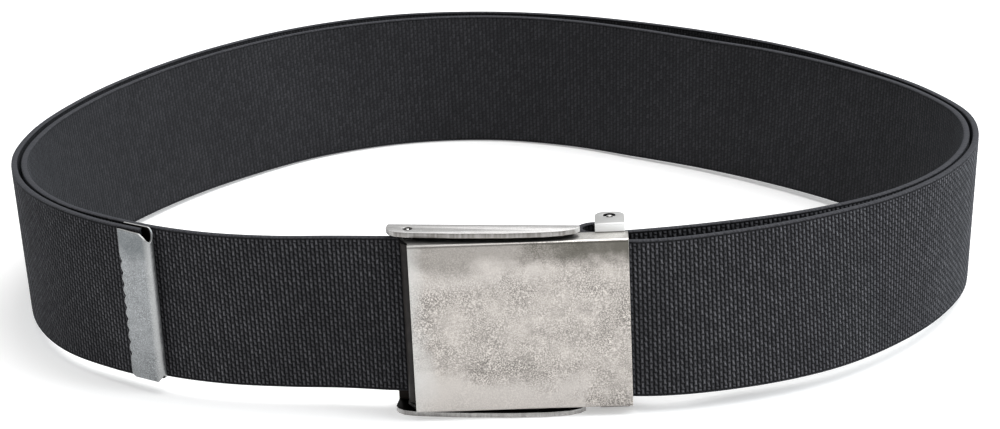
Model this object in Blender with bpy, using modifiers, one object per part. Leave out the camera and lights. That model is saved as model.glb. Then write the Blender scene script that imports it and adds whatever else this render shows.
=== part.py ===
"""Elastic stretch belt, closed in a loop and standing on its edge.

Metres, +Z up, buckle towards -Y.  One strip of webbing runs nearly twice round
the loop: its fixed end is folded round a pin behind the buckle, the free end
passes through the buckle and goes round again outside, up to the metal tip.
"""
import math

import bmesh
import bpy
import numpy as np
from mathutils import Matrix, Vector

MM = 0.001

# Webbing
STRAP_WIDTH = 40.0 * MM
STRAP_THICK = 1.6 * MM
STRAP_RIM = 0.4 * MM
STRAP_RIM_DEG = 60.0
STRAP_STEP = 7.0 * MM

# Clear gap between neighbouring pieces
GAP = 0.3 * MM

# Loop seen from above: radii from the middle of the loop to the inner face of
# the inner layer, at the top and bottom edges, as shares of LOOP_RADIUS, and
# the clear gap to the outer layer as a share of STRAP_THICK.
LOOP_RADIUS = 125.0 * MM
LOOP_COLUMNS = ("deg", "top", "low", "gap")
LOOP = (
    (-71.0, 0.846, 0.864, 3.2),
    (-60.0, 0.894, 0.908, 3.3),
    (-50.0, 0.952, 0.966, 1.9),
    (-40.0, 1.006, 1.000, 0.9),
    (-30.0, 1.037, 1.019, 0.5),
    (-20.0, 1.039, 1.020, 0.5),
    (-10.0, 1.010, 0.990, 0.6),
    (0.0, 0.943, 0.920, 0.8),
    (15.0, 0.836, 0.808, 1.6),
    (30.0, 0.761, 0.734, 2.9),
    (45.0, 0.714, 0.698, 3.9),
    (60.0, 0.718, 0.694, 3.3),
    (75.0, 0.756, 0.734, 2.4),
    (90.0, 0.802, 0.785, 2.1),
    (105.0, 0.836, 0.819, 2.7),
    (120.0, 0.857, 0.834, 2.5),
    (135.0, 0.869, 0.838, 2.1),
    (150.0, 0.890, 0.861, 1.7),
    (165.0, 0.929, 0.903, 1.3),
    (180.0, 0.980, 0.956, 1.0),
    (190.0, 1.008, 0.994, 0.7),
    (200.0, 1.012, 1.006, 0.5),
    (210.0, 0.990, 0.992, 0.5),
    (218.0, 0.957, 0.954, 0.9),
    (224.8, 0.929, 0.925, 1.0),
    (232.0, 0.897, 0.888, 1.0),
    (240.0, 0.856, 0.843, 1.0),
    (248.0, 0.817, 0.808, 1.0),
)
TAIL_FROM_DEG = -60.0
TAIL_TO_DEG = 224.8

# Stations of the inner layer along the frame's back plate, shares of its length
THROAT = (0.0, 0.35, 0.7, 1.0)

# Buckle cover: a plate with its top and bottom edges bent back
COVER_LENGTH = 52.3 * MM
COVER_HEIGHT = 43.0 * MM
COVER_DROP = 0.5 * MM
COVER_SHEET = 0.7 * MM
COVER_EDGE = 1.2 * MM
COVER_WALL = 5.6 * MM
COVER_YAW = -2.0
COVER_X = 5.2 * MM
COVER_Y = -108.7 * MM

# Ears on the cover's walls, which carry the pin of the fixed end
EAR_WIDTH = 7.1 * MM
EAR_INSET = 0.7 * MM
EAR_REACH = 13.3 * MM
EAR_CORNER = 2.6 * MM
EAR_LAP = 0.1 * MM
EAR_PIN_DEPTH = 10.7 * MM
EAR_PIN_RADIUS = 1.2 * MM

# Clamp frame: a back plate with a flange above and below, outside the cover
FRAME_LENGTH = 46.4 * MM
FRAME_DEPTH = 8.8 * MM
FRAME_SHEET = 1.2 * MM
FRAME_BEND = 3.4 * MM
FRAME_HEAD_CLEAR = 1.1 * MM
FRAME_FOOT_CLEAR = 0.9 * MM
FRAME_YAW = -8.7
FRAME_X = -25.2 * MM
FRAME_Y = -95.1 * MM
FLANGE_COLUMNS = ("along", "depth")
FLANGE = (
    (0.000, 0.00),
    (0.000, 0.62),
    (0.018, 0.80),
    (0.055, 0.93),
    (0.120, 1.00),
    (0.380, 1.04),
    (0.640, 1.00),
    (0.820, 0.90),
    (0.920, 0.78),
    (0.975, 0.62),
    (1.000, 0.44),
    (0.992, 0.26),
    (0.955, 0.12),
    (0.900, 0.00),
)

# Clamp bar and its pin at the left end of the frame
BAR_RADIUS = 2.0 * MM
PIN_RADIUS = 0.9 * MM
PIN_ALONG = 5.4 * MM
PIN_DEPTH = 5.9 * MM
LUG_RADIUS = 2.2 * MM
LUG_NECK = 6.6 * MM
LUG_FROM_DEG = 70.0
LUG_TO_DEG = 215.0

# Fold of the fixed end round the ear pin: shares of FOLD_SIZE from the pin
FOLD_SIZE = 4.4 * MM
FOLD_COLUMNS = ("along", "back")
FOLD = (
    (0.64, 0.60),
    (0.00, 0.72),
    (-0.72, 0.98),
    (-1.30, 0.86),
    (-1.66, 0.26),
    (-1.42, -0.34),
    (-0.74, -0.58),
    (0.00, -0.60),
    (0.62, -0.52),
)

# Metal tip folded over the free end
TIP_LENGTH = 8.8 * MM
TIP_SHEET = 0.6 * MM
TIP_HEIGHT = 40.4 * MM
TIP_STEP = 1.5 * MM
TIP_DROP = 0.1 * MM
TIP_CHAMFER = 2.5 * MM
TIP_FOOT_CHAMFER = 1.2 * MM
TIP_FOLD = 0.8

# From the frame's foot to the back edge, the two places the belt stands on
STAND_RUN = 210.0 * MM

# Facets of a full circle and of a bend
ROUND = 32
BEND_STEPS = 5


def clear_scene():
    for obj in list(bpy.data.objects):
        bpy.data.objects.remove(obj, do_unlink=True)


def principled(name, colour, metallic, roughness):
    mat = bpy.data.materials.new(name)
    mat.use_nodes = True
    shader = mat.node_tree.nodes["Principled BSDF"]
    shader.inputs["Base Color"].default_value = colour
    shader.inputs["Metallic"].default_value = metallic
    shader.inputs["Roughness"].default_value = roughness
    mat.diffuse_color = colour
    return mat


def collection(name, hidden=False):
    col = bpy.data.collections.new(name)
    col.hide_render = hidden
    bpy.context.scene.collection.children.link(col)
    return col


def new_object(name, mesh, col, mat=None):
    obj = bpy.data.objects.new(name, mesh)
    col.objects.link(obj)
    if mat:
        mesh.materials.append(mat)
    return obj


def from_bmesh(name, bm, col, mat=None):
    mesh = bpy.data.meshes.new(name)
    bmesh.ops.recalc_face_normals(bm, faces=bm.faces)
    bm.to_mesh(mesh)
    bm.free()
    return new_object(name, mesh, col, mat)


def box(name, low, high, col, mat=None, matrix=None):
    """A block between two corners, placed by matrix."""
    low, high = Vector(low), Vector(high)
    bm = bmesh.new()
    bmesh.ops.create_cube(bm, size=1.0)
    scale = Matrix.Diagonal((*(high - low), 1.0))
    bmesh.ops.transform(bm, verts=bm.verts, matrix=Matrix.Translation((low + high) / 2) @ scale)
    if matrix:
        bmesh.ops.transform(bm, verts=bm.verts, matrix=matrix)
    return from_bmesh(name, bm, col, mat)


def rod(name, radius, low, high, centre, col, mat=None, matrix=None):
    """An upright cylinder from low to high."""
    bm = bmesh.new()
    place = Matrix.Translation((centre[0], centre[1], (low + high) / 2))
    bmesh.ops.create_cone(bm, cap_ends=True, segments=ROUND, radius1=radius, radius2=radius,
                          depth=high - low, matrix=place)
    if matrix:
        bmesh.ops.transform(bm, verts=bm.verts, matrix=matrix)
    return from_bmesh(name, bm, col, mat)


def prism(name, outline, low, high, col, matrix=None):
    """An outline drawn in XY and extruded from low to high."""
    bm = bmesh.new()
    face = bm.faces.new([bm.verts.new((x, y, low)) for x, y in outline])
    top = bmesh.ops.extrude_face_region(bm, geom=[face])["geom"]
    moved = [v for v in top if isinstance(v, bmesh.types.BMVert)]
    bmesh.ops.translate(bm, verts=moved, vec=(0, 0, high - low))
    if matrix:
        bmesh.ops.transform(bm, verts=bm.verts, matrix=matrix)
    return from_bmesh(name, bm, col)


def boolean(obj, cutter, operation):
    mod = obj.modifiers.new(operation.title() + "_" + cutter.name, "BOOLEAN")
    mod.operation = operation
    mod.solver = "EXACT"
    mod.object = cutter
    cutter.hide_render = True
    cutter.display_type = "WIRE"


def round_edges(obj, test, width, segments):
    """Bevels the edges whose two ends pass the test."""
    bm = bmesh.new()
    bm.from_mesh(obj.data)
    edges = [e for e in bm.edges if test(e.verts[0].co, e.verts[1].co)]
    bmesh.ops.bevel(bm, geom=edges, offset=width, offset_type="OFFSET", affect="EDGES",
                    segments=segments, profile=0.5, material=-1)
    bm.to_mesh(obj.data)
    bm.free()


def pose(x, y, yaw_deg):
    return Matrix.Translation((x, y, 0)) @ Matrix.Rotation(math.radians(yaw_deg), 4, "Z")


COVER_POSE = pose(COVER_X, COVER_Y, COVER_YAW)
FRAME_POSE = pose(FRAME_X, FRAME_Y, FRAME_YAW)
COVER_LOW = (STRAP_WIDTH - COVER_HEIGHT) / 2 - COVER_DROP
COVER_TOP = COVER_LOW + COVER_HEIGHT
FRAME_LOW = COVER_LOW - FRAME_FOOT_CLEAR - FRAME_SHEET
FRAME_TOP = COVER_TOP + FRAME_HEAD_CLEAR + FRAME_SHEET
EAR_X = COVER_LENGTH / 2 - EAR_INSET - EAR_WIDTH / 2
EAR_PIN = COVER_POSE @ Vector((EAR_X, EAR_PIN_DEPTH, 0))
CLAMP_PIN = FRAME_POSE @ Vector((PIN_ALONG, -PIN_DEPTH, 0))


def polar(deg, radius):
    return np.array((math.cos(math.radians(deg)), math.sin(math.radians(deg)))) * radius


def strap_stations():
    """Middle of the webbing at its top and bottom edges, in order along it."""
    pin = np.array(EAR_PIN[:2])
    across = np.array((COVER_POSE @ Vector((1, 0, 0)) - COVER_POSE.translation)[:2])
    back = np.array((-across[1], across[0]))
    rows = [(pin + (a * across + b * back) * FOLD_SIZE,) * 2 for a, b in FOLD]
    half = STRAP_THICK / 2
    for deg, top, low, _ in LOOP:
        rows.append((polar(deg, top * LOOP_RADIUS + half), polar(deg, low * LOOP_RADIUS + half)))
    inside = FRAME_SHEET + GAP + half
    for along in THROAT:
        point = FRAME_POSE @ Vector((along * FRAME_LENGTH, -inside, 0))
        rows.append((np.array(point[:2]),) * 2)
    exit_point = COVER_POSE @ Vector((COVER_LENGTH / 2, COVER_SHEET + 2 * GAP + half, 0))
    rows.append((np.array(exit_point[:2]),) * 2)
    for deg, top, low, gap in LOOP:
        if not TAIL_FROM_DEG <= deg <= TAIL_TO_DEG:
            continue
        out = half + STRAP_THICK * (1 + gap)
        rows.append((polar(deg, top * LOOP_RADIUS + out), polar(deg, low * LOOP_RADIUS + out)))
    return rows


def spline(points):
    """A smooth curve through the points, in steps of about STRAP_STEP."""
    pts = np.array(points)
    run = np.concatenate(([0], np.cumsum(np.linalg.norm(np.diff(pts[:, :2], axis=0), axis=1))))
    slope = np.gradient(pts, run, axis=0)
    curve = []
    for i in range(len(pts) - 1):
        span = run[i + 1] - run[i]
        steps = max(2, round(span / STRAP_STEP))
        for t in np.arange(steps) / steps:
            ahead = t * t * (3 - 2 * t)
            curve.append(pts[i] * (1 - ahead) + pts[i + 1] * ahead
                         + slope[i] * span * t * (1 - t) ** 2
                         - slope[i + 1] * span * t * t * (1 - t))
    curve.append(pts[-1])
    return np.array(curve)


def build_strap(col, mat):
    stations = [np.concatenate(row) for row in strap_stations()]
    curve = spline(stations)
    bm = bmesh.new()
    bmesh.ops.create_grid(bm, x_segments=len(curve) - 1, y_segments=1, size=1.0)
    verts = sorted(bm.verts, key=lambda v: (round(v.co.x, 6), v.co.y))
    for row, low, top in zip(curve, verts[0::2], verts[1::2]):
        top.co = (row[0], row[1], STRAP_WIDTH)
        low.co = (row[2], row[3], 0)
    obj = from_bmesh("webbing_strap", bm, col, mat)
    solid = obj.modifiers.new("Thickness", "SOLIDIFY")
    solid.thickness = STRAP_THICK
    solid.offset = 0
    solid.use_even_offset = True
    rim = obj.modifiers.new("Rim", "BEVEL")
    rim.width = STRAP_RIM
    rim.segments = 1
    rim.limit_method = "ANGLE"
    rim.angle_limit = math.radians(STRAP_RIM_DEG)
    return obj, curve


def cover_outline():
    """Plan of the cover: the plate, its walls and the lugs round the clamp pin."""
    half = COVER_LENGTH / 2
    pin = COVER_POSE.inverted() @ CLAMP_PIN
    swing = np.radians(np.linspace(LUG_FROM_DEG, LUG_TO_DEG, ROUND // 3))
    lug = [(pin.x + LUG_RADIUS * math.cos(a), pin.y + LUG_RADIUS * math.sin(a)) for a in swing]
    front, neck = -COVER_SHEET, COVER_SHEET + COVER_EDGE
    return [(-half, front), (half, front), (half, COVER_WALL), (pin.x + LUG_NECK, COVER_WALL),
            *lug, (-half, neck)]


def build_ear(side, col):
    """One ear: a riser from the wall and a plate running back from it."""
    sign = 1 if side == "top" else -1
    wall = COVER_TOP if side == "top" else COVER_LOW
    tip = FRAME_TOP if side == "top" else FRAME_LOW
    root = wall - sign * COVER_SHEET / 2
    front = COVER_WALL - COVER_SHEET + EAR_LAP
    back = COVER_WALL + EAR_LAP
    under = tip - sign * COVER_SHEET
    profile = [(front, root), (back, root), (back, under),
               (EAR_REACH, under), (EAR_REACH, tip), (front, tip)]
    turn = Matrix.Rotation(math.radians(90), 4, "Z") @ Matrix.Rotation(math.radians(90), 4, "X")
    ear = prism("ear_" + side, profile, EAR_X - EAR_WIDTH / 2, EAR_X + EAR_WIDTH / 2, col, turn)
    round_edges(ear, lambda a, b: min(a.y, b.y) > EAR_REACH - GAP and abs(a.z - b.z) > GAP,
                EAR_CORNER, BEND_STEPS)
    ear.data.transform(COVER_POSE)
    return ear


def build_cover(col, cut, mat):
    body = box("buckle_cover", (-COVER_LENGTH, 0, COVER_LOW), (COVER_LENGTH, EAR_REACH, COVER_TOP), col, mat)
    round_edges(body, lambda a, b: a.y == b.y == 0 and abs(a.z - b.z) < GAP, COVER_EDGE, BEND_STEPS)
    body.data.transform(COVER_POSE)
    keep = prism("cover_outline", cover_outline(), 2 * FRAME_LOW, 2 * FRAME_TOP, cut, COVER_POSE)
    boolean(body, keep, "INTERSECT")
    hollow = box("cover_hollow", (-COVER_LENGTH, COVER_SHEET, COVER_LOW + COVER_SHEET),
                 (COVER_LENGTH, 2 * EAR_REACH, COVER_TOP - COVER_SHEET), cut, matrix=COVER_POSE)
    boolean(body, hollow, "DIFFERENCE")
    boolean(body, build_ear("top", cut), "UNION")
    boolean(body, build_ear("bottom", cut), "UNION")
    hole = rod("ear_hole", EAR_PIN_RADIUS + GAP, 2 * FRAME_LOW, 2 * FRAME_TOP, EAR_PIN, cut)
    boolean(body, hole, "DIFFERENCE")
    bore = rod("lug_bore", PIN_RADIUS + GAP, 2 * FRAME_LOW, 2 * FRAME_TOP, CLAMP_PIN, cut)
    boolean(body, bore, "DIFFERENCE")
    return body


def build_frame(col, cut, mat):
    body = box("clamp_frame", (0, -2 * FRAME_DEPTH, FRAME_LOW), (FRAME_LENGTH, 0, FRAME_TOP), col, mat)
    round_edges(body, lambda a, b: a.y == b.y == 0 and abs(a.z - b.z) < GAP, FRAME_BEND, BEND_STEPS)
    body.data.transform(FRAME_POSE)
    outline = [(a * FRAME_LENGTH, -d * FRAME_DEPTH) for a, d in FLANGE]
    keep = prism("frame_outline", outline, 2 * FRAME_LOW, 2 * FRAME_TOP, cut, FRAME_POSE)
    boolean(body, keep, "INTERSECT")
    hollow = box("frame_hollow", (-FRAME_LENGTH, -2 * FRAME_DEPTH, FRAME_LOW + FRAME_SHEET),
                 (2 * FRAME_LENGTH, -FRAME_SHEET, FRAME_TOP - FRAME_SHEET), cut, matrix=FRAME_POSE)
    boolean(body, hollow, "DIFFERENCE")
    bore = rod("frame_bore", PIN_RADIUS + GAP, 2 * FRAME_LOW, 2 * FRAME_TOP, CLAMP_PIN, cut)
    boolean(body, bore, "DIFFERENCE")
    return body


def build_bar(col, cut, mat):
    low = COVER_LOW + COVER_SHEET + GAP
    top = COVER_TOP - COVER_SHEET - GAP
    bar = rod("clamp_bar", BAR_RADIUS, low, top, CLAMP_PIN, col, mat)
    bore = rod("bar_bore", PIN_RADIUS + GAP, 2 * low - top, 2 * top, CLAMP_PIN, cut)
    boolean(bar, bore, "DIFFERENCE")
    return bar


def build_tip(col, cut, mat, curve):
    """A sheet folded round the free end; it leans as the webbing does."""
    end, before = curve[-1], curve[-2]
    top, low = Vector((*end[:2], STRAP_WIDTH)), Vector((*end[2:], 0))
    along = Vector((*(end[:2] - before[:2]), 0)).normalized()
    up = (top - low).normalized()
    inward = up.cross(along).normalized()
    along = inward.cross(up)
    place = Matrix((along, inward, up)).transposed().to_4x4()
    place.translation = low
    thick = STRAP_THICK / 2 + GAP
    half = thick + TIP_SHEET
    nose = GAP + TIP_SHEET
    start = nose - TIP_LENGTH
    foot, head = -TIP_DROP, TIP_HEIGHT - TIP_DROP
    body = box("strap_tip", (start, -half, foot), (nose, half, head), col, mat)
    round_edges(body, lambda a, b: a.x == b.x and a.x > 0 and a.y == b.y, half * TIP_FOLD, BEND_STEPS)
    body.data.transform(place)
    hollow = box("tip_hollow", (start - half, -thick, foot - half), (GAP, thick, head + half), cut)
    round_edges(hollow, lambda a, b: a.x == b.x and a.x > 0 and a.y == b.y, thick * TIP_FOLD, BEND_STEPS)
    hollow.data.transform(place)
    boolean(body, hollow, "DIFFERENCE")
    lip = box("tip_lip", (start - half, -2 * half, head - TIP_STEP), (nose + half, 0, head + half), cut,
              matrix=place)
    boolean(body, lip, "DIFFERENCE")
    for name, corner, side, size in (("head", head - TIP_STEP, 1, TIP_CHAMFER),
                                     ("foot", foot, -1, TIP_FOOT_CHAMFER)):
        wedge = [(nose - size - half, corner + side * half),
                 (nose + half, corner - side * (size + half)),
                 (nose + half, corner + side * half)]
        tool = prism("chamfer_" + name, wedge, 0, 2 * half, cut,
                     place @ Matrix.Rotation(math.radians(90), 4, "X"))
        boolean(body, tool, "DIFFERENCE")
    return body


def stand(objects):
    """Tips the belt until the frame's foot and the back edge both touch, and centres it."""
    tilt = Matrix.Rotation(math.atan(FRAME_LOW / STAND_RUN), 4, "X")
    for obj in objects:
        obj.data.transform(tilt)
    bpy.context.view_layer.update()
    graph = bpy.context.evaluated_depsgraph_get()
    pieces = [obj.evaluated_get(graph) for obj in objects if not obj.hide_render]
    points = np.array([v.co for piece in pieces for v in piece.data.vertices])
    low, high = points.min(axis=0), points.max(axis=0)
    place = Matrix.Translation((-(low[0] + high[0]) / 2, -(low[1] + high[1]) / 2, -low[2]))
    for obj in objects:
        obj.data.transform(place)


def main():
    clear_scene()
    belt = collection("stretch_belt")
    cut = collection("cutters", hidden=True)
    cloth = principled("black_webbing", (0.045, 0.046, 0.050, 1), 0.0, 0.9)
    metal = principled("aged_nickel", (0.62, 0.59, 0.55, 1), 1.0, 0.42)
    dark = principled("dark_steel", (0.06, 0.055, 0.05, 1), 1.0, 0.5)
    _, curve = build_strap(belt, cloth)
    build_cover(belt, cut, metal)
    build_frame(belt, cut, metal)
    build_bar(belt, cut, dark)
    rod("clamp_pin", PIN_RADIUS, FRAME_LOW, FRAME_TOP, CLAMP_PIN, belt, metal)
    rod("ear_pin", EAR_PIN_RADIUS, FRAME_LOW, FRAME_TOP, EAR_PIN, belt, metal)
    build_tip(belt, cut, metal, curve)
    stand(list(belt.objects) + list(cut.objects))


main()
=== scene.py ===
"""Looks of the elastic stretch belt: woven strap, aged nickel buckle and tip."""
import math
import random

import bmesh
import bpy
import numpy as np
from mathutils import Matrix, Vector


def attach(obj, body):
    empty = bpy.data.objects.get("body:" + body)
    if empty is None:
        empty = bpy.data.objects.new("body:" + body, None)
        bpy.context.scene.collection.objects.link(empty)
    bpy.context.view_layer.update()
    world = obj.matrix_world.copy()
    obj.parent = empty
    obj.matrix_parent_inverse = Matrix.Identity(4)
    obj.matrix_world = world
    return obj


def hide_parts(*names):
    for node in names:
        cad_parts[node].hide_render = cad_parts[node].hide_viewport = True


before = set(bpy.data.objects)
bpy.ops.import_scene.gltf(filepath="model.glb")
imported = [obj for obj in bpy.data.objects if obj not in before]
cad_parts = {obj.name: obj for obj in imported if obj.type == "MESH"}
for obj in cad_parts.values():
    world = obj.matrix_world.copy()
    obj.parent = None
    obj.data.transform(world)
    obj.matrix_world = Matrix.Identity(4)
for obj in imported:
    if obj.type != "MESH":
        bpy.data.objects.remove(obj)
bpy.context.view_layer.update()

MM = 0.001

# Camera, and the lean and lift that stand the strap's own frame on the floor
CAMERA_PLACE = (1.49 * MM, -671.95 * MM, 264.89 * MM)
CAMERA_TURN = (69.361, 2.480, -0.934)
CAMERA_LENS = 92.52
CAMERA_SENSOR = 36.0
CAMERA_NEAR = 10 * MM
STAND_TILT = -1.1185
STAND_SHIFT = (0.093 * MM, 0.048 * MM, 2.223 * MM)

# Studio. Lights: name, place, target, size, power and colour
ROOM_LIGHT = 0.5
FLOOR_SIZE = 3.0
FLOOR_WHITE = (0.92, 0.92, 0.92, 1)
FLOOR_ROUGH = 0.9
FLOOR_GLOW = 0.3
WHITE = (1, 1, 1, 1)
LIGHTS = (
    ("top", (0.35, 0.1, 1.2), (0, 0, 0), (1.6, 1.2), 20, WHITE[:3]),
    ("right", (1.1, -0.3, 0.5), (0, 0, 0.02), (0.8, 0.8), 10, (0.90, 0.96, 1.0)),
)

# Webbing, as in the frame
STRAP_WIDTH = 40.0 * MM
STRAP_THICK = 1.6 * MM
GAP = 0.3 * MM
LOOP_RADIUS = 125.0 * MM
# Degrees round the loop, the inner layer's radius at its top and low edges in loop radii, and the gap
# between the layers in strap thicknesses
LOOP = (
    (-71.0, 0.846, 0.864, 3.2),
    (-60.0, 0.894, 0.908, 3.3),
    (-50.0, 0.952, 0.966, 1.9),
    (-40.0, 1.006, 1.000, 0.9),
    (-30.0, 1.037, 1.019, 0.5),
    (-20.0, 1.039, 1.020, 0.5),
    (-10.0, 1.010, 0.990, 0.6),
    (0.0, 0.943, 0.920, 0.8),
    (15.0, 0.836, 0.808, 1.6),
    (30.0, 0.761, 0.734, 2.9),
    (45.0, 0.714, 0.698, 3.9),
    (60.0, 0.718, 0.694, 3.3),
    (75.0, 0.756, 0.734, 2.4),
    (90.0, 0.802, 0.785, 2.1),
    (105.0, 0.836, 0.819, 2.7),
    (120.0, 0.857, 0.834, 2.5),
    (135.0, 0.869, 0.838, 2.1),
    (150.0, 0.890, 0.861, 1.7),
    (165.0, 0.929, 0.903, 1.3),
    (180.0, 0.980, 0.956, 1.0),
    (190.0, 1.008, 0.994, 0.7),
    (200.0, 1.012, 1.006, 0.5),
    (210.0, 0.990, 0.992, 0.5),
    (218.0, 0.957, 0.954, 0.9),
    (224.8, 0.929, 0.925, 1.0),
    (232.0, 0.897, 0.888, 1.0),
    (240.0, 0.856, 0.843, 1.0),
    (248.0, 0.817, 0.808, 1.0),
)
TAIL_FROM_DEG = -60.0
TAIL_TO_DEG = 224.8
# Places along the clamp frame where the strap lies flat against its plate, in frame lengths
THROAT = (0.0, 0.35, 0.7, 1.0)
# Places round the ear pin, along the cover and back from it, in fold sizes
FOLD_SIZE = 4.4 * MM
FOLD = (
    (0.64, 0.60),
    (0.00, 0.72),
    (-0.72, 0.98),
    (-1.30, 0.86),
    (-1.66, 0.26),
    (-1.42, -0.34),
    (-0.74, -0.58),
    (0.00, -0.60),
    (0.62, -0.52),
)
CURVE_STEP = 0.5 * MM
SLOPE_STEP = 0.4 * MM
PAST_EDGE = 0.05

# Buckle, as in the frame
COVER_LENGTH = 52.3 * MM
COVER_SHEET = 0.7 * MM
COVER_LOW = -2.0 * MM
COVER_TOP = 41.0 * MM
COVER_EDGE = 1.2 * MM
COVER_POSE = (5.2 * MM, -108.7 * MM, -2.0)
EAR_X = 21.9 * MM
EAR_PIN_DEPTH = 10.7 * MM
EAR_PIN_RADIUS = 1.2 * MM
FRAME_LENGTH = 46.4 * MM
FRAME_SHEET = 1.2 * MM
FRAME_POSE = (-25.2 * MM, -95.1 * MM, -8.7)
PIN_RADIUS = 0.9 * MM
PIN_ALONG = 5.4 * MM
PIN_DEPTH = 5.9 * MM

# Dressing of the buckle: eased edges, the cover's tighter bend, and where painted shade, wear and painted
# highlights lie
CAD_WELD = 0.002 * MM
FLAT_ANGLE = math.radians(1.0)
SHARP_ANGLE = math.radians(35.0)
NEAR = GAP / 3
METAL_EDGE = 0.14 * MM
EDGE_STEPS = 2
BEND_STEPS = 4
BEND_TIGHT = 0.6
EAR_BEND = 0.55 * MM
PLATE_RIM = 0.1 * MM
PLATE_ROUND = 0.5 * MM
PLATE_CORNER = 1.0
BORE_RIM = 1.6 * GAP
SQUARE_ON = 0.999
UPWARD = 0.9
FACING = 0.5
PLATE_BACK = -1.2 * FRAME_SHEET
# Painted highlight on the rounded side edges of the cover's plate
SIDE_HIGHLIGHT = 0.6
SIDE_RISE = 0.3
SIDE_SLANT = 0.97

# Tip: a sheet folded round the free end
TIP_LENGTH = 9.7 * MM
TIP_SHEET = 0.5 * MM
TIP_HALF = 1.45 * MM
TIP_NOSE = 1.3 * MM
TIP_BEND = 1.1 * MM
TIP_CORNER = 0.9 * MM
TIP_COLUMNS = 48
TIP_ROWS = 96
TIP_EDGE = 0.06 * MM
TIP_INSIDE = -0.3 * TIP_HALF
TIP_UPWARD = 0.7
# Painted highlight along the tip's fold, stronger on the front leaf
TIP_FOLD_HIGHLIGHT_FROM = TIP_NOSE - 1.8 * MM
TIP_FOLD_HIGHLIGHT_TO = TIP_NOSE - 0.2 * MM
TIP_FOLD_HIGHLIGHT_FRONT = 0.7
TIP_FOLD_HIGHLIGHT_BACK = 0.3
STRAP_SHORT = 2.2 * MM
# Trim of the sheet in millimetres: along it from the fold's middle, height of its foot and of its head
TIP_TRIM = (
    (-10.0, -0.10, 39.40),
    (-3.6, -0.10, 39.10),
    (-2.0, -0.10, 38.00),
    (-0.2, 1.60, 36.80),
    (0.6, 1.20, 37.80),
    (1.6, 0.40, 39.50),
    (2.4, -0.10, 40.30),
    (10.0, -0.10, 40.30),
)
PINCH_PITCH = 3.1 * MM
PINCH_DEPTH = 0.6 * MM
PINCH_LOW = 4.65 * MM
PINCH_HIGH = 32.55 * MM

# Turned ends of the pins: each inset as a share of the radius, with its rise as a share of the step
PIN_STEP = 0.6 * MM
PIN_EDGE = 0.03 * MM
PIN_SIDE_CORNERS = 8
PIN_POINT = (
    (0.50, 0.00),
    (0.03, 0.86),
    (0.16, 0.10),
    (0.14, 0.04),
)

# Weave: grains stand across the strap in columns, half a grain out of step
COLUMN_OUT = 1.04 * MM
COLUMN_IN = 1.20 * MM
GRAINS_ACROSS = 24
GRAINS_AT_TOP = 3
SELVEDGE = 0.55 * MM
FACE_REST = 0.54 * MM
GRAIN_LIFT_OUT = 0.34 * MM
GRAIN_LIFT_IN = 0.20 * MM
GRAIN_INSET = 0.12 * MM
GRAIN_SHOULDER = 0.52
GRAIN_WAIST = 0.07
GRAIN_SLIM = 0.70
GRAIN_TALL = 1.02
GRAIN_SLANTS = (-0.05, -0.24)
GRAIN_STRAY = 0.06
TONE_OUT = (0.0, 1.0)
# The inner faces' grains kept lower: painted shade on the inside of the loop
INNER_FACE_SHADE = (0.30, 0.55)
TONE_BETWEEN = 0.5
ON_LINE = GAP / 10
WEAVE_WELD = 0.005 * MM
# Rolled selvedge: across in selvedge widths, and out in millimetres
RIM = (
    (0.35, 0.80),
    (0.72, 0.76),
    (0.95, 0.52),
    (1.00, 0.20),
    (1.00, -0.20),
    (0.95, -0.52),
    (0.72, -0.76),
    (0.35, -0.80),
)
# Name, first and last station, column pitch, and whether the outer and the inner face show in full
STRIPS = (
    ("strap_fold", ("fold", 0), ("inner", -60.0), COLUMN_IN, True, True),
    ("strap_inner_right", ("inner", -60.0), ("inner", 75.0), COLUMN_IN, False, True),
    ("strap_inner_left", ("inner", 75.0), ("inner", 218.0), COLUMN_IN, False, True),
    ("strap_front_left", ("inner", 218.0), ("throat", 0.35), COLUMN_OUT, True, True),
    ("strap_outer_right", ("throat", 0.35), ("outer", 90.0), COLUMN_OUT, True, False),
    ("strap_outer_left", ("outer", 90.0), ("outer", 224.8), COLUMN_OUT, True, False),
)


def pose(x, y, yaw):
    return Matrix.Translation((x, y, 0)) @ Matrix.Rotation(math.radians(yaw), 4, "Z")


STAND = Matrix.Translation(STAND_SHIFT) @ Matrix.Rotation(math.radians(STAND_TILT), 4, "X")
COVER_AXES = STAND @ pose(*COVER_POSE)
FRAME_AXES = STAND @ pose(*FRAME_POSE)
WALL_TOP = (COVER_AXES @ Vector((0, 0, COVER_TOP))).z


def polar(deg, radius):
    return np.array((math.cos(math.radians(deg)), math.sin(math.radians(deg)))) * radius


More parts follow.
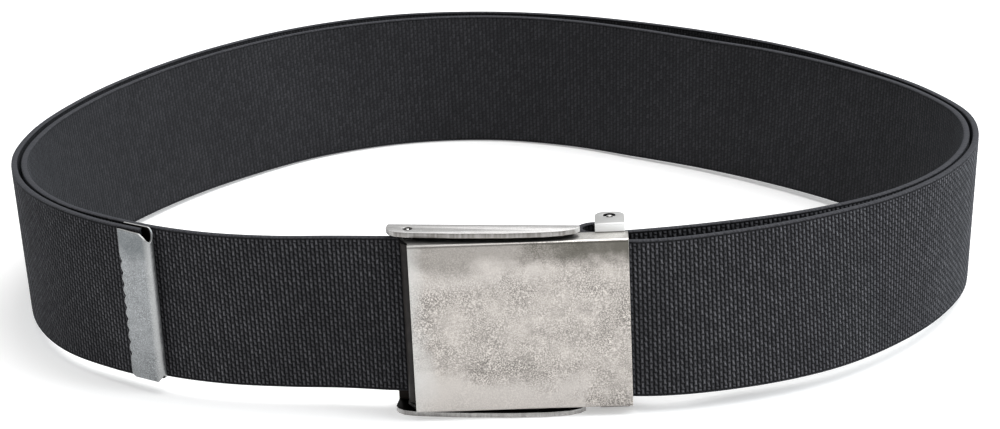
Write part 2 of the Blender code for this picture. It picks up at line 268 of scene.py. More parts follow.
class Strap:
    """The middle surface of the webbing, by length along it and height across it."""

    def __init__(self):
        self.names = {}
        self.trace(self.stations())

    def stations(self):
        """Places of the strap's top and low edges, as x and y of each, from the fold to the free end."""
        cover, clamp = pose(*COVER_POSE), pose(*FRAME_POSE)
        pin = np.array((cover @ Vector((EAR_X, EAR_PIN_DEPTH, 0)))[:2])
        across = np.array((cover.to_3x3() @ Vector((1, 0, 0)))[:2])
        back = np.array((-across[1], across[0]))
        half = STRAP_THICK / 2
        rows = []

        def add(name, top, low):
            self.names[name] = len(rows)
            rows.append(np.concatenate((top, low)))

        for i, (a, b) in enumerate(FOLD):
            point = pin + (a * across + b * back) * FOLD_SIZE
            add(("fold", i), point, point)
        for deg, top, low, _ in LOOP:
            add(("inner", deg), polar(deg, top * LOOP_RADIUS + half), polar(deg, low * LOOP_RADIUS + half))
        for along in THROAT:
            point = np.array((clamp @ Vector((along * FRAME_LENGTH, -(FRAME_SHEET + GAP + half), 0)))[:2])
            add(("throat", along), point, point)
        point = np.array((cover @ Vector((COVER_LENGTH / 2, COVER_SHEET + 2 * GAP + half, 0)))[:2])
        add(("exit", 0), point, point)
        for deg, top, low, gap in LOOP:
            if TAIL_FROM_DEG <= deg <= TAIL_TO_DEG:
                out = half + STRAP_THICK * (1 + gap)
                add(("outer", deg), polar(deg, top * LOOP_RADIUS + out), polar(deg, low * LOOP_RADIUS + out))
        return rows

    def trace(self, rows):
        """A smooth curve through the stations, in short steps."""
        pts = np.array(rows)
        run = np.concatenate(([0], np.cumsum(np.linalg.norm(np.diff(pts[:, :2], axis=0), axis=1))))
        slope = np.gradient(pts, run, axis=0)
        curve, knots = [], []
        for i in range(len(pts) - 1):
            span = run[i + 1] - run[i]
            t = np.arange(0, 1, min(0.5, CURVE_STEP / span))[:, None]
            ahead = t * t * (3 - 2 * t)
            knots.append(sum(len(c) for c in curve))
            curve.append(pts[i] * (1 - ahead) + pts[i + 1] * ahead + slope[i] * span * t * (1 - t) ** 2
                         - slope[i + 1] * span * t * t * (1 - t))
        knots.append(sum(len(c) for c in curve))
        curve.append(pts[-1:])
        self.line = np.vstack(curve)
        middle = (self.line[:, :2] + self.line[:, 2:]) / 2
        self.run = np.concatenate(([0], np.cumsum(np.linalg.norm(np.diff(middle, axis=0), axis=1))))
        self.knots = self.run[knots]

    def at(self, *name):
        """Length along the strap at a named station."""
        return self.knots[self.names[name]]

    def place(self, flat):
        """Flat points (along, across, out) laid on the strap, in the room."""
        u, v, w = flat.T
        share = np.clip(v / STRAP_WIDTH, -PAST_EDGE, 1 + PAST_EDGE)[:, None]

        def on(length):
            edges = np.stack([np.interp(length, self.run, self.line[:, k]) for k in range(4)], axis=1)
            return edges[:, 2:] * (1 - share) + edges[:, :2] * share

        tangent = on(u + SLOPE_STEP) - on(u - SLOPE_STEP)
        tangent /= np.linalg.norm(tangent, axis=1)[:, None]
        normal = np.stack((tangent[:, 1], -tangent[:, 0]), axis=1)
        points = np.column_stack((on(u) + normal * w[:, None], v))
        return points @ np.array(STAND.to_3x3()).T + np.array(STAND.translation)


strap = Strap()


class Nodes:
    """Short calls for building a material. A span that a ramp reads gives the value's first and second
    ends, and then what it answers with there where that is not 0 and 1."""

    def __init__(self, name):
        self.mat = bpy.data.materials.new(name)
        self.mat.use_nodes = True
        self.tree = self.mat.node_tree
        self.shader = self.tree.nodes["Principled BSDF"]

    def add(self, kind, inputs=None, **settings):
        node = self.tree.nodes.new("ShaderNode" + kind)
        for key, value in settings.items():
            setattr(node, key, value)
        for key, value in (inputs or {}).items():
            self.set(node.inputs[key], value)
        return node

    def set(self, socket, value):
        if isinstance(value, bpy.types.NodeSocket):
            self.tree.links.new(value, socket)
        else:
            socket.default_value = value

    def coords(self, scale=(1, 1, 1), uv=None):
        source = self.add("UVMap", uv_map=uv).outputs["UV"] if uv else self.add("TexCoord").outputs["Object"]
        return self.add("Mapping", {"Vector": source, "Scale": scale}).outputs["Vector"]

    def reading(self, kind, axis):
        """One axis of the surface's Object place or of its Normal."""
        return self.add("SeparateXYZ", {"Vector": self.add("TexCoord").outputs[kind]}).outputs[axis]

    def noise(self, vector, scale, detail, rough=0.55):
        return self.add("TexNoise", {"Vector": vector, "Scale": scale, "Detail": detail,
                                     "Roughness": rough}).outputs["Fac"]

    def ramp(self, value, low, high, out_low=0.0, out_high=1.0):
        return self.add("MapRange", {"Value": value, "From Min": low, "From Max": high, "To Min": out_low,
                                     "To Max": out_high}).outputs["Result"]

    def math(self, operation, a, b):
        node = self.add("Math", operation=operation)
        self.set(node.inputs[0], a)
        self.set(node.inputs[1], b)
        return node.outputs[0]

    def stray(self, value, noise, reach):
        """A value that noise moves by up to half of reach either way."""
        return self.math("ADD", value, self.math("MULTIPLY", self.math("SUBTRACT", noise, 0.5), reach))

    def mix(self, share, a, b):
        node = self.add("Mix", data_type="RGBA")
        self.set(node.inputs["Factor"], share)
        self.set(node.inputs["A"], a)
        self.set(node.inputs["B"], b)
        return node.outputs["Result"]

    def attribute(self, name):
        return self.add("Attribute", attribute_name=name).outputs["Fac"]

    def bump(self, height, strength, distance):
        node = self.add("Bump", {"Height": height, "Strength": strength, "Distance": distance})
        return node.outputs["Normal"]

    def finish(self, **sockets):
        for key, value in sockets.items():
            self.set(self.shader.inputs[key.replace("_", " ")], value)
        return self.mat


# Black weave: a noise is its scale per metre and its detail
# The gap colour is partly the thread's own dark and partly painted shade; the crowns' grey is partly dust and
# partly painted sheen
WEAVE_GAP = (0.0012, 0.0012, 0.0016, 1)
WEAVE_PLAIN = (0.020, 0.020, 0.023, 1)
WEAVE_THREAD = (0.108, 0.108, 0.119, 1)
WEAVE_DUST_AND_SHEEN = (0.23, 0.23, 0.245, 1)
SPECK_NOISE = (2200.0, 2.0)
DUST_NOISE = (30.0, 3.0)
CROWN_SPAN = (0.05, 1.0)
CROWN_POWER = 1.4
GRAIN_TONES = (0.0, 1.0, 0.62, 1.0)
SPECK_TONES = (0.3, 0.7, 0.6, 1.0)
DUST_TONES = (0.3, 0.7, 0.8, 1.0)
DUST_AND_SHEEN_POWER = 3.0
RIM_LIT_FACING = (0.25, 0.75, 0.55, 1.0)
RIM_LINT = (0.35, 0.7, 0.0, 0.5)
FIBRE_STRETCH = (1.0, 0.3, 1.0)
FIBRE_WAVE = {"Scale": 1500.0, "Distortion": 2.5, "Detail": 1.0}
FIBRE_BUMP = (0.5, 0.05 * MM)
WEAVE_SURFACE = {"Roughness": 0.8, "Sheen_Weight": 0.05, "Sheen_Roughness": 0.4,
                 "Sheen_Tint": (0.7, 0.85, 1, 1), "Specular_IOR_Level": 0.14}


def black_weave():
    """Elastic weave: dark between the grains, partly painted shade, and dusty grey with a painted sheen on
    top of them.
    """
    n = Nodes("black_weave")
    flat = n.coords(uv="weave")
    speck = n.noise(flat, *SPECK_NOISE)
    # Grain height sets the colour: painted shade low in the gaps, lighter up to a painted sheen on the crowns
    crown = n.math("POWER", n.ramp(n.attribute("lift"), *CROWN_SPAN), CROWN_POWER)
    light = n.math("MULTIPLY", crown, n.ramp(n.attribute("tone"), *GRAIN_TONES))
    light = n.math("MULTIPLY", light, n.ramp(speck, *SPECK_TONES))
    light = n.math("MULTIPLY", light, n.ramp(n.noise(flat, *DUST_NOISE), *DUST_TONES))
    colour = n.mix(light, WEAVE_GAP, WEAVE_THREAD)
    colour = n.mix(n.math("POWER", light, DUST_AND_SHEEN_POWER), colour, WEAVE_DUST_AND_SHEEN)
    # The rolled edges take the selvedge's plain colour, fully where they face upward: painted light on top,
    # painted shade below
    rim = n.math("MULTIPLY", n.attribute("edge"), n.ramp(n.reading("Normal", "Z"), *RIM_LIT_FACING))
    colour = n.mix(rim, colour, n.mix(n.ramp(speck, *RIM_LINT), WEAVE_PLAIN, WEAVE_THREAD))
    along = n.coords(FIBRE_STRETCH, uv="weave")
    fibre = n.add("TexWave", {"Vector": along, **FIBRE_WAVE}, bands_direction="X")
    return n.finish(Base_Color=colour, Normal=n.bump(fibre.outputs["Fac"], *FIBRE_BUMP), **WEAVE_SURFACE)


# Aged nickel: a noise is its scale per metre, its detail and its roughness
FLECK_NOISE = (2900.0, 3.0, 0.75)
CLOUD_NOISE = (95.0, 5.0, 0.6)
STAIN_NOISE = (210.0, 4.0)
MOTTLE_NOISE = (620.0, 3.0, 0.65)
FLECK_SPAN = (0.43, 0.58)
FLECK_CLOUD = (0.36, 0.60, 0.36)
STAIN_SPAN = (0.48, 0.72, 0.0, 0.35)
MOTTLE_SPAN = (0.36, 0.64, 0.0, 0.24)
BARE_SPAN = (0.44, 0.34)
BARE_CLOUD = (0.38, 0.60, 0.2, 0.65)
BARE_GAIN = 1.5
NICKEL_ROUGH = (0.35, 0.7, 0.34, 0.46)
NICKEL_BUMP = (0.2, 0.04 * MM)
# Polish colour for worn edges, also used for painted highlights on some edges and on the tip's fold
WEAR_AND_HIGHLIGHT_SHARE = 0.8
CHALK_METAL = 0.4
POLISH_AND_HIGHLIGHT = (0.86, 0.84, 0.81, 1)
# Painted shade: the colour laid on inner, hidden and covered faces
PAINTED_SHADE_COLOUR = (0.012, 0.010, 0.009, 1)


def nickel(name, base, dark, fleck_most):
    """Aged nickel: fine grey flecks in soft clouds over a warm light metal, polished on its edges."""
    n = Nodes(name)
    spot = n.coords()
    fine = n.noise(spot, *FLECK_NOISE)
    cloud = n.noise(spot, *CLOUD_NOISE)
    fleck = n.math("MULTIPLY", n.ramp(fine, *FLECK_SPAN), n.ramp(cloud, *FLECK_CLOUD, fleck_most))
    colour = n.mix(fleck, base, dark)
    colour = n.mix(n.ramp(n.noise(spot, *STAIN_NOISE), *STAIN_SPAN), colour, dark)
    mottle = n.noise(spot, *MOTTLE_NOISE)
    colour = n.mix(n.ramp(mottle, *MOTTLE_SPAN), colour, dark)
    bare = n.math("MULTIPLY", n.ramp(fine, *BARE_SPAN), n.ramp(cloud, *BARE_CLOUD))
    colour = n.mix(bare, colour, tuple(min(1.0, BARE_GAIN * c) for c in base[:3]) + (1,))
    return n, colour, n.ramp(fine, *NICKEL_ROUGH), n.bump(fine, *NICKEL_BUMP), cloud, mottle


def finish_nickel(n, colour, rough, bump, polish_and_highlight=POLISH_AND_HIGHLIGHT, matt=0.0, chalk=0.0):
    """Polished where it is worn, with painted highlights among those places, dark with painted shade on its
    inner and hidden faces, less of a mirror where it is chalky.
    """
    wear_and_highlight = n.attribute("wear_and_highlight")
    # Polish on worn edges and painted highlights, both from the wear and highlight marks
    colour = n.mix(n.math("MULTIPLY", wear_and_highlight, WEAR_AND_HIGHLIGHT_SHARE), colour, polish_and_highlight)
    # Painted shade on the faces that the piece's shade test marks
    colour = n.mix(n.attribute("painted_shade"), colour, PAINTED_SHADE_COLOUR)
    worn_and_lit, chalky = n.ramp(wear_and_highlight, 0.0, 1.0, 1.0, 1.0 - matt), n.ramp(chalk, 0.0, 1.0, 1.0, CHALK_METAL)
    return n.finish(Base_Color=colour, Metallic=n.math("MINIMUM", worn_and_lit, chalky), Roughness=rough, Normal=bump)


# The cover's own zones, each fading in between two heights or two places across, in metres
FACE_METAL = (0.50, 0.466, 0.434, 1)
FACE_FLECK = (0.160, 0.149, 0.138, 1)
FACE_FLECK_MOST = 1.0
RAGGED_UP = 0.011
RAGGED_ACROSS = 0.04
SMOOTH_METAL = (0.475, 0.445, 0.42, 1)
SMOOTH_SHARE = 0.75
SMOOTH_LOW_UP = (0.0125, 0.0080)
SMOOTH_LOW_ACROSS = (0.024, 0.018)
SMOOTH_TOP_UP = (0.0330, 0.0365)
SMOOTH_TOP_ACROSS = (0.010, 0.002)
SMOOTH_TOP_SHARE = 0.8
TARNISH = (0.095, 0.090, 0.077, 1)
TARNISH_UP = (0.0375, 0.0412)
TARNISH_ACROSS = (0.004, 0.022, 0.45, 0.95)
TARNISH_FACING = (-0.80, -0.97)
# Painted highlight down the left edge of the cover's plate
LEFT_EDGE_HIGHLIGHT = (0.52, 0.52, 0.51, 1)
LEFT_HIGHLIGHT_SHARE = 0.6
LEFT_RAGGED = 0.01
LEFT_ACROSS = (-0.011, -0.0165)
# Painted light: faces that look upward are lighter
UPWARD_LIGHT = (0.68, 0.675, 0.65, 1)
UPWARD_LIGHT_FACING = (0.6, 0.9, 0.0, 0.7)
WALL_MOTTLE = (0.35, 0.65, 1.0, 0.75)
EAR_FADE = 0.3 * MM
EAR_SHARE = 0.95
# Painted light on the ear: its riser pale as if lit, its upward top painted darker
EAR_SIDE_HIGHLIGHT = (0.88, 0.875, 0.865, 1)
EAR_TOP_SHADE = (0.24, 0.24, 0.235, 1)


def nickel_face():
    """The cover: tarnished under its top edge, most at the right, smooth and pale low and at the left, with a
    painted highlight down its left edge, upward faces painted lighter, and painted light on the ear: a pale
    riser and a darker top.
    """
    n, colour, rough, bump, cloud, mottle = nickel("aged_nickel_face", FACE_METAL, FACE_FLECK,
                                                   FACE_FLECK_MOST)
    x, z = n.reading("Object", "X"), n.reading("Object", "Z")
    height, across = n.stray(z, cloud, RAGGED_UP), n.stray(x, cloud, RAGGED_ACROSS)
    low = n.math("MULTIPLY", n.ramp(height, *SMOOTH_LOW_UP), n.ramp(across, *SMOOTH_LOW_ACROSS))
    top = n.math("MULTIPLY", n.ramp(height, *SMOOTH_TOP_UP), n.ramp(across, *SMOOTH_TOP_ACROSS))
    smooth = n.math("MAXIMUM", low, n.math("MULTIPLY", top, SMOOTH_TOP_SHARE))
    colour = n.mix(n.math("MULTIPLY", smooth, SMOOTH_SHARE), colour, SMOOTH_METAL)
    front = n.ramp(n.reading("Normal", "Y"), *TARNISH_FACING)
    band = n.math("MULTIPLY", n.ramp(height, *TARNISH_UP), front)
    colour = n.mix(n.math("MULTIPLY", band, n.ramp(across, *TARNISH_ACROSS)), colour, TARNISH)
    # Painted highlight down the plate's left edge
    left = n.ramp(n.math("ADD", x, n.math("MULTIPLY", cloud, LEFT_RAGGED)), *LEFT_ACROSS)
    colour = n.mix(n.math("MULTIPLY", left, LEFT_HIGHLIGHT_SHARE), colour, LEFT_EDGE_HIGHLIGHT)
    # Painted light: faces that look upward, and the ear, are made lighter
    up = n.ramp(n.reading("Normal", "Z"), *UPWARD_LIGHT_FACING)
    ear = n.ramp(z, WALL_TOP, WALL_TOP + EAR_FADE, 0.0, EAR_SHARE)
    wall = n.math("MULTIPLY", n.math("MAXIMUM", up, ear), n.ramp(mottle, *WALL_MOTTLE))
    colour = n.mix(wall, colour, UPWARD_LIGHT)
    # Painted light on the ear: riser pale, upward top painted darker
    colour = n.mix(ear, colour, n.mix(up, EAR_SIDE_HIGHLIGHT, EAR_TOP_SHADE))
    return finish_nickel(n, colour, rough, bump, chalk=ear)


BRUSHED_METAL = (0.80, 0.79, 0.78, 1)
BRUSHED_FLECK = (0.45, 0.44, 0.43, 1)
BRUSHED_FLECK_MOST = 0.4
STRETCHED_NOISE = (1.0, 2.0)
BRUSH_STRETCH = (60.0, 2500.0, 2500.0)
BRUSH_SPAN = (0.42, 0.62, 0.0, 0.5)
BRUSH_LINE = (0.46, 0.455, 0.45, 1)
STREAK_STRETCH = (1500.0, 1500.0, 60.0)
STREAK_SPAN = (0.3, 0.65, 0.7, 1.0)
CUT_METAL = (0.17, 0.16, 0.15, 1)
CUT_FACING = (-0.5, -0.85)
CUT_UP = (0.040, 0.044, 0.75, 1.0)


def nickel_brushed():
    """The clamp frame and pins: brushed along their length, with streaked cut edges at the front."""
    n, colour, rough, *_ = nickel("aged_nickel_brushed", BRUSHED_METAL, BRUSHED_FLECK, BRUSHED_FLECK_MOST)
    brush = n.noise(n.coords(BRUSH_STRETCH), *STRETCHED_NOISE)
    colour = n.mix(n.ramp(brush, *BRUSH_SPAN), colour, BRUSH_LINE)
    streak = n.noise(n.coords(STREAK_STRETCH), *STRETCHED_NOISE)
    cut = n.math("MULTIPLY", n.ramp(n.reading("Normal", "Y"), *CUT_FACING), n.ramp(streak, *STREAK_SPAN))
    cut = n.math("MULTIPLY", cut, n.ramp(n.reading("Object", "Z"), *CUT_UP))
    colour = n.mix(cut, colour, CUT_METAL)
    return finish_nickel(n, colour, rough, n.bump(brush, *NICKEL_BUMP))


TIP_METAL = (0.31, 0.322, 0.33, 1)
TIP_FLECK = (0.135, 0.142, 0.146, 1)
TIP_FLECK_MOST = 0.9
TIP_POLISH_AND_HIGHLIGHT = (0.46, 0.458, 0.452, 1)
TIP_MATT = 0.6
TIP_RAGGED = 0.012
DULL_METAL = (0.10, 0.112, 0.118, 1)
DULL_FROM = (0.034, 0.038)
DULL_TO = (0.0445, 0.0415)
DULL_SHARE = 0.6


def nickel_tip():
    """The tip: cooler and duller, with a darker patch near its top."""
    n, colour, rough, bump, cloud, _ = nickel("aged_nickel_tip", TIP_METAL, TIP_FLECK, TIP_FLECK_MOST)
    height = n.stray(n.reading("Object", "Z"), cloud, TIP_RAGGED)
    dull = n.math("MULTIPLY", n.ramp(height, *DULL_FROM), n.ramp(height, *DULL_TO))
    colour = n.mix(n.math("MULTIPLY", dull, DULL_SHARE), colour, DULL_METAL)
    return finish_nickel(n, colour, rough, bump, polish_and_highlight=TIP_POLISH_AND_HIGHLIGHT, matt=TIP_MATT)


STEEL_DARK = (0.009, 0.007, 0.0065, 1)
STEEL_LIGHT = (0.024, 0.020, 0.018, 1)
STEEL_NOISE = (400.0, 4.0)
STEEL_SPAN = (0.4, 0.65)
STEEL_BUMP = (0.4, 0.1 * MM)
STEEL_SURFACE = {"Metallic": 0.5, "Roughness": 0.55}


def dark_steel():
    n = Nodes("dark_steel")
    grime = n.noise(n.coords(), *STEEL_NOISE)
    colour = n.mix(n.ramp(grime, *STEEL_SPAN), STEEL_DARK, STEEL_LIGHT)
    return n.finish(Base_Color=colour, Normal=n.bump(grime, *STEEL_BUMP), **STEEL_SURFACE)


BLACK_WEAVE, DARK_STEEL = black_weave(), dark_steel()
NICKEL_FACE, NICKEL_BRUSHED, NICKEL_TIP = nickel_face(), nickel_brushed(), nickel_tip()


def link(name, data):
    obj = bpy.data.objects.new(name, data)
    bpy.context.scene.collection.objects.link(obj)
    return obj


def finish_piece(name, bm, mat, node):
    """Makes the piece from its mesh, on the root body, in place of its node."""
    mesh = bpy.data.meshes.new(name)
    bm.to_mesh(mesh)
    bm.free()
    mesh.shade_smooth()
    mesh.materials.append(mat)
    obj = link(name, mesh)
    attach(obj, "root")
    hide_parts(node)
    return mesh


def weave_face(bm, start, columns, pitch, side, first, chance):
    """One face of the strap: grains stand proud of it from grain number first to the top."""
    lift_of, tone_of = bm.verts.layers.float["lift"], bm.verts.layers.float["tone"]
    lift, (ground, crown) = (GRAIN_LIFT_OUT, TONE_OUT) if side > 0 else (GRAIN_LIFT_IN, INNER_FACE_SHADE)
    levels = list(range(2 * first, 2 * GRAINS_ACROSS + 1))
    if first:
        levels.insert(0, 0)
    rows = len(levels) - 1
    step = (STRAP_WIDTH - 2 * SELVEDGE) / (2 * GRAINS_ACROSS)
    made = bmesh.ops.create_grid(bm, x_segments=columns, y_segments=rows, size=1.0)["verts"]
    grid = {}
    for vert in made:
        column, level = round((vert.co.x + 1) / 2 * columns), levels[round((vert.co.y + 1) / 2 * rows)]
        grid[column, level] = vert
        waist = 0.0
        if 0 < column < columns and 2 * first < level < 2 * GRAINS_ACROSS:
            waist = GRAIN_WAIST * pitch * (1 if (column + level) % 2 else -1)
        vert.co = (start + column * pitch + waist, SELVEDGE + level * step, side * FACE_REST)
        vert[lift_of], vert[tone_of] = ground, TONE_BETWEEN
    merged = [e for column in range(columns) for level in range(2 * first + 1, 2 * GRAINS_ACROSS)
              if (column + level) % 2 for e in grid[column, level].link_edges
              if e.other_vert(grid[column, level]) is grid[column + 1, level]]
    bmesh.ops.dissolve_edges(bm, edges=merged, use_verts=False, use_face_split=False)
    corners, foot = set(made), SELVEDGE + 2 * first * step
    grains = [f for f in bm.faces if f.verts[0] in corners and f.calc_center_median().y > foot]
    bmesh.ops.inset_individual(bm, faces=grains, thickness=GRAIN_INSET, use_even_offset=True)
    for face in grains:
        middle = face.calc_center_median()
        slant = GRAIN_SLANTS[int((middle.x - start) / pitch) % 2] + chance.uniform(-1, 1) * GRAIN_STRAY
        slim = GRAIN_SLIM * (1 + chance.uniform(-1, 1) * GRAIN_STRAY)
        tone = chance.random()
        for vert in face.verts:
            across, along = vert.co.y - middle.y, vert.co.x - middle.x
            vert.co = (middle.x + along * slim + slant * across, middle.y + across * GRAIN_TALL,
                       side * (FACE_REST + lift * GRAIN_SHOULDER))
            vert[lift_of], vert[tone_of] = ground + (crown - ground) * GRAIN_SHOULDER, tone
    for vert in bmesh.ops.poke(bm, faces=grains)["verts"]:
        vert.co.z = side * (FACE_REST + lift)
        vert[lift_of] = crown


def roll_selvedge(bm, front, level, sign):
    """Rolls one long edge from the front face round to the back one."""
    edge_of = bm.verts.layers.float["edge"]
    ring = [e for e in bm.edges if e.is_boundary
            and all(v in front and abs(v.co.y - level) < ON_LINE for v in e.verts)]
    for across, out in RIM + ((0.0, -FACE_REST / MM),):
        made = bmesh.ops.extrude_edge_only(bm, edges=ring)["geom"]
        for vert in made:
            if isinstance(vert, bmesh.types.BMVert):
                vert.co.y = level + sign * across * SELVEDGE
                vert.co.z = out * MM
                vert[edge_of] = 1.0 if across else 0.0
        ring = [e for e in made if isinstance(e, bmesh.types.BMEdge)]


def lay_on_strap(mesh):
    """Keeps the flat weave as the UV map and bends the mesh onto the strap."""
    flat = np.empty(3 * len(mesh.vertices))
    mesh.vertices.foreach_get("co", flat)
    flat = flat.reshape(-1, 3)
    corner = np.empty(len(mesh.loops), dtype=int)
    mesh.loops.foreach_get("vertex_index", corner)
    mesh.uv_layers.new(name="weave").data.foreach_set("uv", flat[corner][:, :2].ravel())
    mesh.vertices.foreach_set("co", strap.place(flat).ravel())
    mesh.update()


def weave_strip(name, start, end, pitch, outside, painted_shade):
    """A length of the strap: two faces, two rolled selvedges and closed ends."""
    columns = round((end - start) / pitch)
    pitch = (end - start) / columns
    chance = random.Random(name)
    bm = bmesh.new()
    for label in ("lift", "tone", "edge"):
        bm.verts.layers.float.new(label)
    hidden_from = GRAINS_ACROSS - GRAINS_AT_TOP
    weave_face(bm, start, columns, pitch, 1, 0 if outside else hidden_from, chance)
    front = set(bm.verts)
    weave_face(bm, start, columns, pitch, -1, 0 if painted_shade else hidden_from, chance)
    for level, sign in ((SELVEDGE, -1), (STRAP_WIDTH - SELVEDGE, 1)):
        roll_selvedge(bm, front, level, sign)
    bmesh.ops.remove_doubles(bm, verts=bm.verts, dist=WEAVE_WELD)
    for limit in (start, end):
        rim = [e for e in bm.edges if e.is_boundary and all(abs(v.co.x - limit) < ON_LINE for v in e.verts)]
        bmesh.ops.contextual_create(bm, geom=rim)
    bmesh.ops.recalc_face_normals(bm, faces=bm.faces)
    lay_on_strap(finish_piece(name, bm, BLACK_WEAVE, "webbing_strap"))


def merged_copy(node):
    """A CAD node's mesh with its loose triangles joined and its flat faces whole."""
    bm = bmesh.new()
    bm.from_mesh(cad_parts[node].data)
    bmesh.ops.remove_doubles(bm, verts=bm.verts, dist=CAD_WELD)
    bmesh.ops.dissolve_limit(bm, angle_limit=FLAT_ANGLE, verts=bm.verts, edges=bm.edges)
    return bm


def round_edges(bm, edges, offset, segments):
    return bmesh.ops.bevel(bm, geom=edges, offset=offset, offset_type="OFFSET", affect="EDGES",
                           segments=segments, profile=0.5, material=-1, clamp_overlap=True)["faces"]


def dress(bm, node, mat, axes, painted_shade, edge=METAL_EDGE, worn_and_lit=None):
    """Eases the sharp edges, marks the places of painted shade, of wear and of painted highlights, and stands
    the piece in for its node.
    The two tests, one for painted shade and one for wear and painted highlights, each take a place and a
    face's normal in the piece's own axes."""
    back = axes.inverted()
    sharp = [e for e in bm.edges if e.is_manifold and e.calc_face_angle(0) > SHARP_ANGLE]
    eased = round_edges(bm, sharp, edge, EDGE_STEPS)
    wear_and_highlight_of, painted_shade_of = bm.loops.layers.float.new("wear_and_highlight"), bm.loops.layers.float.new("painted_shade")
    for face in eased:
        for loop in face.loops:
            loop[wear_and_highlight_of] = 1.0
    # Painted shade where the shade test holds; wear and painted highlights where the other test gives a share
    for face in bm.faces:
        normal = back.to_3x3() @ face.normal
        shaded = painted_shade(back @ face.calc_center_median(), normal)
        for loop in face.loops:
            loop[painted_shade_of] = float(shaded)
            if worn_and_lit:
                loop[wear_and_highlight_of] = max(loop[wear_and_highlight_of], worn_and_lit(back @ loop.vert.co, normal))
    finish_piece(node + "_dressed", bm, mat, node).set_sharp_from_angle(angle=SHARP_ANGLE)


def tighten_bends(bm, back):
    """Draws the arcs of the cover's top and low bends in to a smaller radius."""
    for vert in bm.verts:
        at = back @ vert.co
        for wall, way in ((COVER_TOP, 1), (COVER_LOW, -1)):
            fall = way * (wall - at.z)
            off_arc = abs(math.hypot(COVER_EDGE - at.y, COVER_EDGE - fall) - COVER_EDGE)
            if off_arc < NEAR and at.y < 2 * COVER_EDGE:
                at.y *= BEND_TIGHT
                at.z = wall - way * fall * BEND_TIGHT
                vert.co = COVER_AXES @ at


def cover():
    """The cover, with its bends and the side edges of its plate rounded."""
    back = COVER_AXES.inverted()
    half = COVER_LENGTH / 2
    bm = merged_copy("buckle_cover")
    ear_top = max((back @ v.co).z for v in bm.verts)
    ear_front = min((back @ v.co).y for v in bm.verts if ear_top - (back @ v.co).z < NEAR)
    tighten_bends(bm, back)

    def edges_where(test):
        return [e for e in bm.edges if all(test(back @ v.co) for v in e.verts)]

    ear_edges = edges_where(lambda at: math.hypot(at.y - ear_front, at.z - ear_top) < NEAR)
    round_edges(bm, ear_edges, EAR_BEND, BEND_STEPS)
    plate = [f for f in bm.faces if (back.to_3x3() @ f.normal).y < -SQUARE_ON and f.calc_area() > half * half]
    bmesh.ops.inset_region(bm, faces=plate, thickness=PLATE_RIM, use_even_offset=True, use_boundary=True)
    sides = [e for e in edges_where(lambda at: at.y < NEAR) if e.calc_face_angle(0) > PLATE_CORNER]
    round_edges(bm, sides, PLATE_ROUND, BEND_STEPS)

    def shaded(at, normal):
        """Painted shade: behind the plate between the walls, in the ear pin's bore and on the end at the dark
        bar.
        """
        behind = at.y > COVER_SHEET / 2 and 0 < at.z < STRAP_WIDTH
        bore = math.hypot(at.x - EAR_X, at.y - EAR_PIN_DEPTH) < EAR_PIN_RADIUS + BORE_RIM
        end = at.x < COVER_SHEET - half and at.y > COVER_SHEET
        return behind or (bore and normal.z < UPWARD) or end

    def wear_and_highlight_marks(at, normal):
        """Painted highlight on the slanted faces down the sides of the plate."""
        slanted = abs(normal.z) < SIDE_RISE and max(map(abs, normal)) < SIDE_SLANT
        return SIDE_HIGHLIGHT if at.y < 2 * COVER_SHEET and slanted else 0.0

    dress(bm, "buckle_cover", NICKEL_FACE, COVER_AXES, shaded, worn_and_lit=wear_and_highlight_marks)


def clamp():
    """The clamp frame and the bar that grips the webbing against it."""
    middle = STRAP_WIDTH / 2

    def shaded_faces(at, normal):
        """Painted shade on the plate's front, which the webbing lies on, and on the flanges' inner faces."""
        plate = at.y > PLATE_BACK and normal.y < -FACING
        return plate or (at.z - middle) * normal.z < -FACING * middle

    dress(merged_copy("clamp_frame"), "clamp_frame", NICKEL_BRUSHED, FRAME_AXES, shaded_faces)
    dress(merged_copy("clamp_bar"), "clamp_bar", DARK_STEEL, STAND, lambda at, normal: False)


def ease(value, low, high):
    return min(1.0, max(0.0, (value - low) / (high - low)))


def tip_axes():
    """Axes at the foot of the strap's free end: along it, out of its hidden face, and up."""
    end, before = strap.line[-1], strap.line[-2]
    top, low = Vector((*end[:2], STRAP_WIDTH)), Vector((*end[2:], 0))
    along = Vector((*(end[:2] - before[:2]), 0)).normalized()
    up = (top - low).normalized()
    inward = up.cross(along).normalized()
    axes = Matrix((inward.cross(up), inward, up)).transposed().to_4x4()
    axes.translation = low
    return STAND @ axes


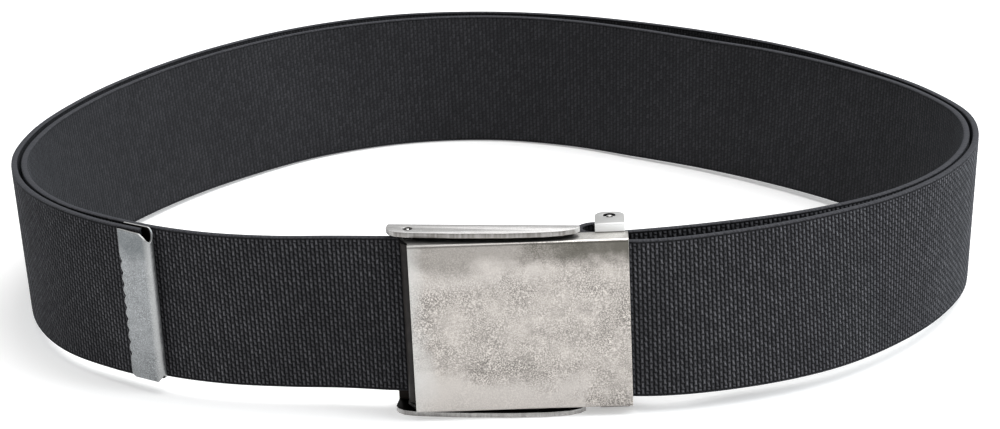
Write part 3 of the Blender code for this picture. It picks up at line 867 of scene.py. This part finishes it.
def tip():
    """A sheet folded round the free end, pinched along its edge and cut back at its corners."""
    fold = math.pi * math.sqrt((TIP_BEND ** 2 + TIP_HALF ** 2) / 2)
    leaf = TIP_LENGTH - TIP_BEND
    fold_from = TIP_NOSE - TIP_BEND
    knots, feet, heads = (np.array(c) * MM for c in zip(*TIP_TRIM))
    bm = bmesh.new()
    for vert in bmesh.ops.create_grid(bm, x_segments=TIP_COLUMNS, y_segments=TIP_ROWS, size=1.0)["verts"]:
        run, rise = vert.co.x * (leaf + fold / 2), (vert.co.y + 1) / 2
        foot, head = np.interp(run, knots, feet), np.interp(run, knots, heads)
        z = foot + (head - foot) * rise
        straight = abs(run) - fold / 2
        if straight > 0:
            pinch = 1 - abs(math.sin(math.pi * z / PINCH_PITCH)) if PINCH_LOW < z < PINCH_HIGH else 0.0
            corner = max(0.0, 1 - z / TIP_CORNER) ** 2 * TIP_CORNER
            x, y = fold_from - straight, math.copysign(TIP_HALF, run)
            if run < 0:
                x += (PINCH_DEPTH * pinch + corner) * straight / leaf
        else:
            turn = math.pi * run / fold
            x, y = TIP_NOSE - TIP_BEND * (1 - math.cos(turn)), TIP_HALF * math.sin(turn)
        vert.co = (x, y, z)
    bmesh.ops.recalc_face_normals(bm, faces=bm.faces)
    bmesh.ops.solidify(bm, geom=bm.faces[:], thickness=TIP_SHEET)
    bmesh.ops.recalc_face_normals(bm, faces=bm.faces)
    axes = tip_axes()
    bmesh.ops.transform(bm, matrix=axes, verts=bm.verts)

    def shaded_against_strap(at, normal):
        # Painted shade on the sheet's inner faces, against the strap
        return at.y * normal.y + max(0.0, at.x - fold_from) * normal.x < TIP_INSIDE

    def wear_and_highlight_marks(at, normal):
        """Wear on the sheet's foot and head, and a weaker painted highlight along the fold."""
        if abs(normal.z) > TIP_UPWARD:
            return 1.0
        return (TIP_FOLD_HIGHLIGHT_FRONT if at.y < 0 else TIP_FOLD_HIGHLIGHT_BACK) * ease(at.x, TIP_FOLD_HIGHLIGHT_FROM, TIP_FOLD_HIGHLIGHT_TO)

    dress(bm, "strap_tip", NICKEL_TIP, axes, shaded_against_strap, edge=TIP_EDGE, worn_and_lit=wear_and_highlight_marks)


def pin(node, axes, radius):
    """A pin with both ends turned down to a short domed point, with painted shade everywhere but on the
    point.
    """
    bm = merged_copy(node)
    for cap in [f for f in bm.faces if len(f.verts) > PIN_SIDE_CORNERS]:
        bmesh.ops.translate(bm, verts=cap.verts, vec=cap.normal * -PIN_STEP)
        for share, rise in PIN_POINT:
            bmesh.ops.inset_region(bm, faces=[cap], thickness=share * radius, depth=rise * PIN_STEP,
                                   use_boundary=True, use_even_offset=True)
    point = (1 - PIN_POINT[0][0] - PIN_POINT[1][0]) * radius
    dress(bm, node, NICKEL_BRUSHED, axes, lambda at, normal: math.hypot(at.x, at.y) > point,
          edge=PIN_EDGE)


def floor():
    bm = bmesh.new()
    bmesh.ops.create_grid(bm, x_segments=1, y_segments=1, size=FLOOR_SIZE)
    mesh = bpy.data.meshes.new("floor")
    bm.to_mesh(mesh)
    bm.free()
    mesh.materials.append(Nodes("floor").finish(Base_Color=FLOOR_WHITE, Roughness=FLOOR_ROUGH,
                                                Emission_Color=WHITE, Emission_Strength=FLOOR_GLOW))
    link("floor", mesh)


def area_light(name, place, target, size, power, colour):
    light = bpy.data.lights.new(name, "AREA")
    light.shape = "RECTANGLE"
    light.size, light.size_y = size
    light.energy = power
    light.color = colour
    obj = link(name, light)
    obj.location = place
    obj.rotation_euler = (Vector(target) - Vector(place)).to_track_quat("-Z", "Y").to_euler()


def studio():
    world = bpy.data.worlds.new("studio")
    world.use_nodes = True
    back = world.node_tree.nodes["Background"]
    back.inputs["Color"].default_value = WHITE
    back.inputs["Strength"].default_value = ROOM_LIGHT
    bpy.context.scene.world = world
    for light in LIGHTS:
        area_light(*light)
    camera = bpy.data.cameras.new("camera")
    camera.lens = CAMERA_LENS
    camera.sensor_width = CAMERA_SENSOR
    camera.clip_start = CAMERA_NEAR
    obj = link("camera", camera)
    obj.location = CAMERA_PLACE
    obj.rotation_euler = [math.radians(a) for a in CAMERA_TURN]
    bpy.context.scene.camera = obj
    bpy.context.scene.view_settings.view_transform = "Standard"


for strip, first, last, grain_pitch, outer, inner in STRIPS:
    cut_back = STRAP_SHORT if last == ("outer", TAIL_TO_DEG) else 0.0
    weave_strip(strip, strap.at(*first), strap.at(*last) - cut_back, grain_pitch, outer, inner)
cover()
clamp()
tip()
pin("ear_pin", COVER_AXES @ Matrix.Translation((EAR_X, EAR_PIN_DEPTH, 0)), EAR_PIN_RADIUS)
pin("clamp_pin", FRAME_AXES @ Matrix.Translation((PIN_ALONG, -PIN_DEPTH, 0)), PIN_RADIUS)
floor()
studio()

bpy.context.view_layer.update()
